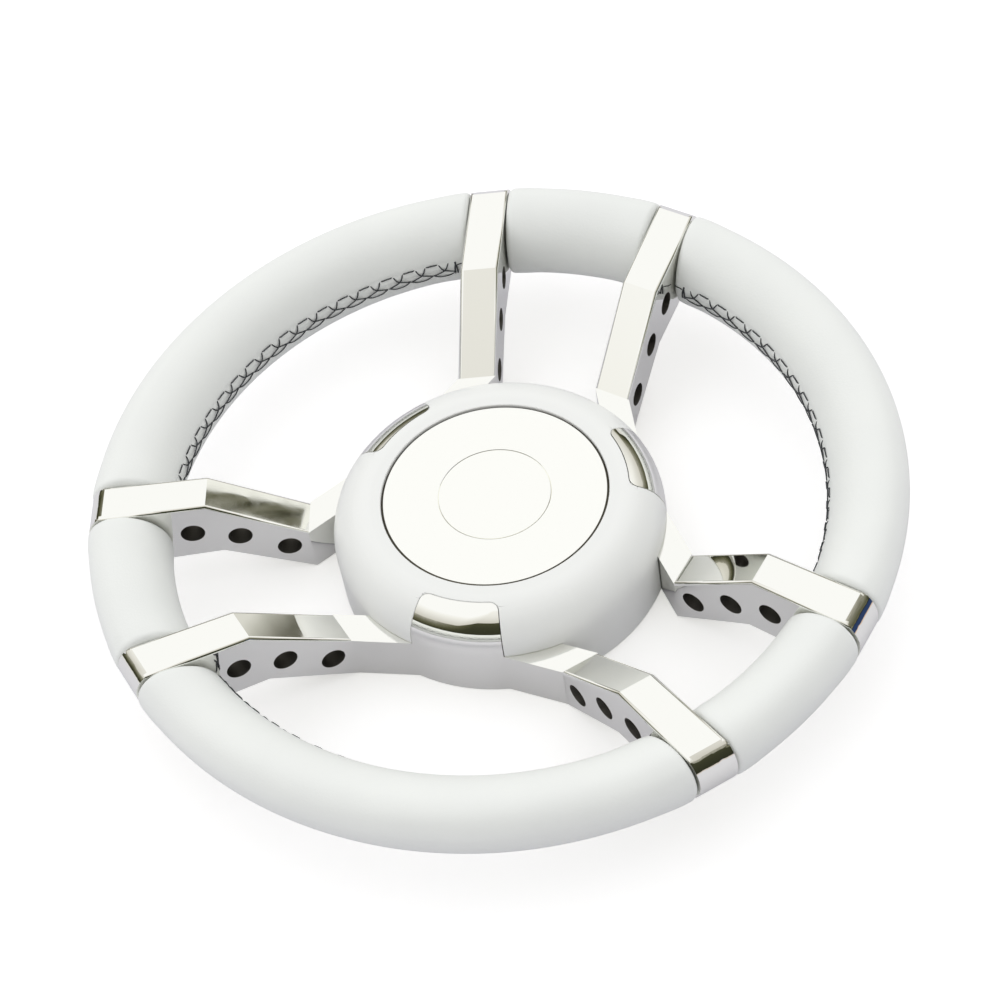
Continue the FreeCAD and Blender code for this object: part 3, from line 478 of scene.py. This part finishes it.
slot_of = {part["node"]: part["material_slot"] for part in frame["record"]["subparts"]}
for node, piece in frame["nodes"].items():
    piece.data.materials.clear()
    piece.data.materials.append(MATERIALS[slot_of[node]])


def dress(piece, node):
    """Put a new piece in the place of a node, with that node's finish."""
    piece.data.materials.clear()
    piece.data.materials.append(MATERIALS[slot_of[node]])
    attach(piece, "root")
    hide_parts(node)
    return piece


def along_spoke(places, turn, hand):
    """Places in one spoke's own frame: reach along it, counted with its skewed folds, across it and up."""
    flat = turn_about_axis(places, -turn) * (hand, 1, 1)
    reach = flat[:, 0] * math.sin(SPOKE_SPLAY) + flat[:, 1] * math.cos(SPOKE_SPLAY)
    across = flat[:, 0] * math.cos(SPOKE_SPLAY) - flat[:, 1] * math.sin(SPOKE_SPLAY) - SPOKE_OFFSET
    return reach + across * math.tan(SPOKE_SKEW), across, flat[:, 2]


def read(items, name, width=1, kind=np.int32):
    """One property of all a mesh's items as an array."""
    values = np.empty(len(items) * width, kind)
    items.foreach_get(name, values)
    return values.reshape(-1, width) if width > 1 else values


def mark_spokes(mesh):
    """Keep the crowns' creases sharp and mark the walls of the spokes' holes, on all six spokes."""
    places, ends = read(mesh.vertices, "co", 3, np.float32), read(mesh.edges, "vertices", 2)
    centres, normals = [read(mesh.polygons, name, 3, np.float32) for name in ("center", "normal")]
    crease, bored = np.zeros(len(mesh.edges), bool), np.zeros(len(mesh.polygons), np.float32)
    for turn in PAIR_TURNS:
        for hand in (1, -1):
            reach, across, height = along_spoke(places, turn, hand)
            on_crown = np.hypot(reach - CROWN[0], height - CROWN[1]) < 0.0003
            crease |= (on_crown & (np.abs(across) < 0.010))[ends].all(axis=1)
            reach, across, height = along_spoke(centres, turn, hand)
            flat = turn_about_axis(normals, -turn) * (hand, 1, 1)
            sideways = flat[:, 0] * math.cos(SPOKE_SPLAY) - flat[:, 1] * math.sin(SPOKE_SPLAY)
            for hole_reach, hole_height in HOLES:
                inside = np.hypot(reach - hole_reach, height - hole_height) < HOLE_RADIUS + 0.0002
                bored[inside & (np.abs(across) < 0.010) & (np.abs(sideways) < 0.5)] = 1
    sharp = mesh.attributes["sharp_edge"].data
    sharp.foreach_set("value", read(sharp, "value", kind=bool) | crease)
    mesh.attributes.new("bored", "FLOAT", "FACE").data.foreach_set("value", bored)


def true_normals(mesh, soft=28.0, tangent=16.0):
    """Corner normals as on the solid.

    A face counts as flat where it is much larger than each neighbour across a soft edge. It keeps
    its own normal, and a rounding that starts on it takes that normal at the shared corners. All
    other corners keep the smooth normal of the faces round them.
    """
    vertex, edge = [read(mesh.loops, name) for name in ("vertex_index", "edge_index")]
    face = np.repeat(np.arange(len(mesh.polygons)), read(mesh.polygons, "loop_total"))
    area = read(mesh.polygons, "area", kind=np.float32)
    normal = read(mesh.polygons, "normal", 3, np.float32)
    sharp = read(mesh.attributes["sharp_edge"].data, "value", kind=bool)
    order = np.argsort(edge, kind="stable")
    paired = np.flatnonzero(edge[order][1:] == edge[order][:-1])
    one, other = face[order][paired], face[order][paired + 1]
    smooth = (normal[one] * normal[other]).sum(axis=1) > math.cos(math.radians(soft))
    smooth &= ~sharp[edge[order][paired]]
    largest = np.zeros(len(area), np.float32)
    np.maximum.at(largest, one[smooth], area[other[smooth]])
    np.maximum.at(largest, other[smooth], area[one[smooth]])
    flat = area > np.maximum(6 * largest, 4e-6)

    corners = read(mesh.corner_normals, "vector", 3, np.float32)
    corners[flat[face]] = normal[face[flat[face]]]
    touching = np.flatnonzero(flat[face])
    touching = touching[np.argsort(vertex[touching], kind="stable")]
    owner = vertex[touching]
    rank = np.arange(len(owner)) - np.searchsorted(owner, owner)
    table = np.full((len(mesh.vertices), rank.max() + 1), -1)
    table[owner, rank] = face[touching]
    rounded = np.flatnonzero(~flat[face])
    near = table[vertex[rounded]]
    match = np.where(near >= 0, (normal[near] * normal[face[rounded]][:, None]).sum(axis=2), -1.0)
    best = match.argmax(axis=1)
    chosen = match.max(axis=1) > math.cos(math.radians(tangent))
    rows = np.flatnonzero(chosen)
    corners[rounded[rows]] = normal[near[rows, best[rows]]]
    mesh.normals_split_custom_set(corners)


def smoothed_copy(node, name, bevel=0.0, sharp=28.0, spokes=False):
    """Copy of a node with its corners joined, flat areas whole, small edges rounded and curves smooth."""
    mesh = frame["nodes"][node].data.copy()
    work = bmesh.new()
    work.from_mesh(mesh)
    bmesh.ops.remove_doubles(work, verts=work.verts, dist=2e-6)
    bmesh.ops.dissolve_limit(work, angle_limit=math.radians(0.2), verts=work.verts, edges=work.edges)
    work.to_mesh(mesh)
    work.free()
    mesh.polygons.foreach_set("use_smooth", np.ones(len(mesh.polygons), bool))
    mesh.set_sharp_from_angle(angle=math.radians(sharp))
    copy = bpy.data.objects.new(name, mesh)
    bpy.context.scene.collection.objects.link(copy)
    if spokes:
        mark_spokes(mesh)
        true_normals(mesh)
        return dress(copy, node)
    if bevel:
        edge = copy.modifiers.new("edges", "BEVEL")
        edge.width = bevel
        edge.segments = 2
        edge.limit_method = "ANGLE"
        edge.angle_limit = math.radians(40)
        edge.use_clamp_overlap = False
    weigh = copy.modifiers.new("normals", "WEIGHTED_NORMAL")
    weigh.keep_sharp = True
    return dress(copy, node)


smoothed_copy("spider_casting", "polished_spider", sharp=36.0, spokes=True)
smoothed_copy("hub_cap", "moulded_cap", bevel=0.0003)
dress(mirror_disc(), "cap_disc")
smoothed_copy("centre_medallion", "mirror_medallion")

for number, turn in enumerate(PAIR_TURNS, start=1):
    cover = leather_cover(f"short_grip_{number}", SHORT_SLOPE, SHORT_SIDE, turn, 10 + number, False)
    dress(cover, f"leather_cover_short_{number}")
    cover = leather_cover(f"long_grip_{number}", LONG_SLOPE, LONG_SIDE, turn + 60.0, 20 + number, True)
    dress(cover, f"leather_cover_long_{number}")
    dress(lacing(f"waxed_lacing_{number}", turn + 60.0, 30 + number), f"lacing_long_{number}")

# ---------------------------------------------------------------- studio

floor = mesh_object("studio_table", [(-4, -4, -0.0002), (4, -4, -0.0002), (4, 4, -0.0002), (-4, 4, -0.0002)],
                    [(0, 1, 2, 3)], smooth=False)
floor.data.materials.append(pale_floor())

# Each row of the room that the polished steel mirrors: azimuth in degrees, then the lower and upper
# edge of the dark gap between the table's sweep and the lamps' white cloth, as sines of their
# elevation, and the colour of what lies below the gap.
ROOM = (
    (-180, 0.03, 0.36, "#dcdad5"), (-145, 0.10, 0.48, "#dcdad5"), (-106, 0.15, 0.53, "#dedbd5"),
    (-96, 0.05, 0.70, "#d4d3cc"), (-82, 0.05, 0.70, "#d4d3cc"), (-72, 0.05, 0.82, "#d4d3cc"),
    (-38, 0.05, 0.80, "#bcbbb2"), (-26, 0.07, 0.78, "#dccdc6"), (-10, 0.07, 0.80, "#d9c3b4"),
    (15, 0.05, 0.80, "#d3b9a4"), (45, 0.10, 0.62, "#d8d6d1"), (58, 0.02, 0.38, "#d8d6d1"),
    (74, 0.02, 0.36, "#d8d6d1"), (80, 0.25, 0.38, "#d8d6d1"), (92, 0.25, 0.38, "#d8d6d1"),
    (120, 0.22, 0.36, "#92918b"), (145, 0.02, 0.32, "#b8b6b0"), (180, 0.03, 0.36, "#dcdad5"),
)


def by_azimuth(tree, turn, column):
    """Ramp round the horizon through one column of the room."""
    ramp = add_node(tree, "ShaderNodeValToRGB", {0: turn})
    elements = ramp.color_ramp.elements
    while len(elements) < len(ROOM):
        elements.new(0.5)
    for element, row in zip(elements, ROOM):
        element.position = (row[0] + 180) / 360
    for element, row in zip(elements, ROOM):
        value = row[column]
        element.color = linear(value) if isinstance(value, str) else (value, value, value, 1)
    return ramp.outputs["Color"]


def colour_ramp(tree, share, stops):
    """Ramp through sRGB colours at shares from 0 to 1."""
    ramp = add_node(tree, "ShaderNodeValToRGB", {0: share})
    elements = ramp.color_ramp.elements
    while len(elements) < len(stops):
        elements.new(0.5)
    for element, (place, _) in zip(elements, stops):
        element.position = place
    for element, (_, code) in zip(elements, stops):
        element.color = linear(code)
    return ramp.outputs["Color"]


def studio_world():
    """White studio: white to the camera, an even soft dome to matt surfaces, the room to polished ones."""
    world = bpy.data.worlds.new("white_studio")
    world.use_nodes = True
    tree = world.node_tree
    tree.nodes.clear()

    def maths(operation, *values):
        return add_node(tree, "ShaderNodeMath", dict(enumerate(values)), operation=operation).outputs[0]

    def blend(share, first, second):
        return add_node(tree, "ShaderNodeMix", {0: share, 6: first, 7: second}, data_type="RGBA").outputs[2]

    direction = add_node(tree, "ShaderNodeTexCoord").outputs["Generated"]
    axes = add_node(tree, "ShaderNodeSeparateXYZ", {0: direction})
    height = axes.outputs["Z"]
    turn = maths("MULTIPLY_ADD", maths("ARCTAN2", axes.outputs["Y"], axes.outputs["X"]), 0.5 / math.pi, 0.5)
    low, high, sweep = [by_azimuth(tree, turn, column) for column in (1, 2, 3)]
    depth = maths("MAXIMUM", maths("SUBTRACT", high, low), 0.0001)
    share = maths("DIVIDE", maths("SUBTRACT", height, low), depth)
    stretched = add_node(tree, "ShaderNodeMapping", {"Vector": direction, "Scale": (60.0, 60.0, 220.0)})
    streaks = add_node(tree, "ShaderNodeTexNoise", {"Vector": stretched.outputs[0], "Scale": 1.0, "Detail": 2.0})
    nearing = maths("MINIMUM", maths("MAXIMUM", maths("MULTIPLY_ADD", axes.outputs["X"], 3.0, 1.3), 0.0), 1.0)
    before = maths("MULTIPLY", nearing, maths("LESS_THAN", axes.outputs["Y"], -0.3))
    uneven = maths("MULTIPLY_ADD", streaks.outputs["Fac"], 0.6, maths("SUBTRACT", share, 0.3))
    uneven = maths("MULTIPLY", uneven, maths("MULTIPLY_ADD", before, -0.6, 1.0))
    gap = colour_ramp(tree, uneven, ((0.0, "#2f3024"), (0.3, "#3b3c2c"), (0.5, "#55543f"), (0.7, "#6f6e5c"),
                                     (0.9, "#8f8d80"), (1.0, "#aeaca0")))
    beyond = colour_ramp(tree, share, ((0.0, "#2f4167"), (0.36, "#2c3c60"), (0.38, "#2b2b20"), (0.43, "#2f2f24"),
                                       (0.46, "#84846a"), (0.8, "#a09f8c"), (1.0, "#b3b1a4")))
    gap = blend(maths("GREATER_THAN", axes.outputs["X"], 0.86), gap, beyond)
    cloth = colour_ramp(tree, maths("DIVIDE", maths("SUBTRACT", height, high), 0.32),
                        ((0.0, "#cfccc3"), (0.35, "#e0ded8"), (0.8, "#f6f5f1"), (1.0, "#ffffff")))
    upper = blend(maths("GREATER_THAN", share, 1.0), gap, cloth)
    mirrored = blend(maths("GREATER_THAN", share, 0.0), sweep, upper)

    def towards(*axis):
        return add_node(tree, "ShaderNodeVectorMath", {0: direction, 1: axis}, operation="DOT_PRODUCT").outputs["Value"]

    def within(value, low, high):
        return maths("MULTIPLY", maths("GREATER_THAN", value, low), maths("LESS_THAN", value, high))

    # A rack in the back of the studio, seen in the upper left spoke: drawn in two directions, along
    # the spoke from its root and across it from its middle line, each as a share of the spoke.
    along = maths("MULTIPLY_ADD", towards(-0.625, 0.0, 0.780), 26.3, -0.008)
    across = maths("MULTIPLY", towards(-0.6101, 0.6424, -0.4637), 87.0)
    lines = add_node(tree, "ShaderNodeCombineXYZ", {0: maths("MULTIPLY_ADD", along, 0.9, across), 1: along})
    stretched = add_node(tree, "ShaderNodeMapping", {"Vector": lines.outputs[0], "Scale": (4.6, 1.1, 1.0)})
    rods = add_node(tree, "ShaderNodeTexNoise", {"Vector": stretched.outputs[0], "Scale": 1.0, "Detail": 2.5})
    rack = colour_ramp(tree, rods.outputs["Fac"], ((0.36, "#1f1f16"), (0.44, "#5b5a49"), (0.51, "#7a796a"),
                                                   (0.58, "#55543f"), (0.66, "#a3a296")))
    top = maths("MULTIPLY_ADD", along, -0.22, 0.27)
    inside = maths("MULTIPLY", within(along, 0.05, 1.04), maths("MULTIPLY", maths("GREATER_THAN", across, -0.43),
                                                                 maths("LESS_THAN", across, top)))
    rack = blend(inside, linear("#f4f4ee"), rack)
    shown = maths("MULTIPLY", within(along, -0.12, 1.15), within(across, -0.7, 0.7))
    mirrored = blend(shown, mirrored, rack)

    # A grey screen beside it, seen in the outer half of the lower left spoke.
    along = maths("MULTIPLY_ADD", towards(-0.664, 0.011, 0.7476), 55.0, 0.06)
    across = maths("MULTIPLY", towards(0.7354, -0.1732, 0.6551), 100.0)
    shade = maths("MULTIPLY_ADD", across, -0.35, along)
    shade = maths("MULTIPLY_ADD", streaks.outputs["Fac"], 0.3, maths("SUBTRACT", shade, 0.15))
    screen = colour_ramp(tree, shade, ((0.0, "#66655a"), (0.3, "#8f8e84"), (0.7, "#bcbbb2"), (1.0, "#dcdbd4")))
    shown = maths("MULTIPLY", within(along, -0.2, 1.25), within(across, -0.75, 0.75))
    mirrored = blend(shown, mirrored, screen)

    dome = colour_ramp(tree, height, ((0.0, "#f2f2f0"), (0.35, "#fbfbf9"), (0.7, "#ffffff")))
    behind = maths("MULTIPLY_ADD", axes.outputs["Y"], -0.8, maths("MULTIPLY_ADD", axes.outputs["X"], 0.6, -0.15))
    dome = blend(maths("MULTIPLY", maths("MAXIMUM", behind, 0.0), 0.9), dome, linear("#6a6a68"))
    path = add_node(tree, "ShaderNodeLightPath").outputs
    strength = maths("MULTIPLY_ADD", path["Is Diffuse Ray"], 0.14, 1.0)
    soft = add_node(tree, "ShaderNodeBackground", {"Color": dome, "Strength": strength})
    room = add_node(tree, "ShaderNodeBackground", {"Color": mirrored})
    white = add_node(tree, "ShaderNodeBackground", {"Color": linear("#ffffff")})
    sky = add_node(tree, "ShaderNodeMixShader", {0: path["Is Glossy Ray"], 1: soft.outputs[0], 2: room.outputs[0]})
    sky = add_node(tree, "ShaderNodeMixShader", {0: path["Is Camera Ray"], 1: sky.outputs[0], 2: white.outputs[0]})
    output = tree.nodes.new("ShaderNodeOutputWorld")
    tree.links.new(sky.outputs[0], output.inputs[0])
    return world


bpy.context.scene.world = studio_world()

# Camera of the photograph: place, directions and lens come from the wheel's six-fold outline.
azimuth, elevation, roll = (math.radians(angle) for angle in (23.13, 50.82, -10.74))
right = Vector((math.cos(azimuth), math.sin(azimuth), 0))
up = Vector((-math.sin(azimuth) * math.sin(elevation), math.cos(azimuth) * math.sin(elevation), math.cos(elevation)))
back = right.cross(up)
turned_right = right * math.cos(roll) + up * math.sin(roll)
turned_up = up * math.cos(roll) - right * math.sin(roll)
camera = bpy.data.objects.new("camera", bpy.data.cameras.new("camera"))
bpy.context.scene.collection.objects.link(camera)
camera.matrix_world = Matrix.Translation((0.28503, -0.66278, 0.92259)) @ Matrix(
    (turned_right, turned_up, back)).transposed().to_4x4()
camera.data.lens = 96.12
camera.data.sensor_width = 36.0
bpy.context.scene.camera = camera

view = bpy.context.scene.view_settings
view.view_transform = "Standard"
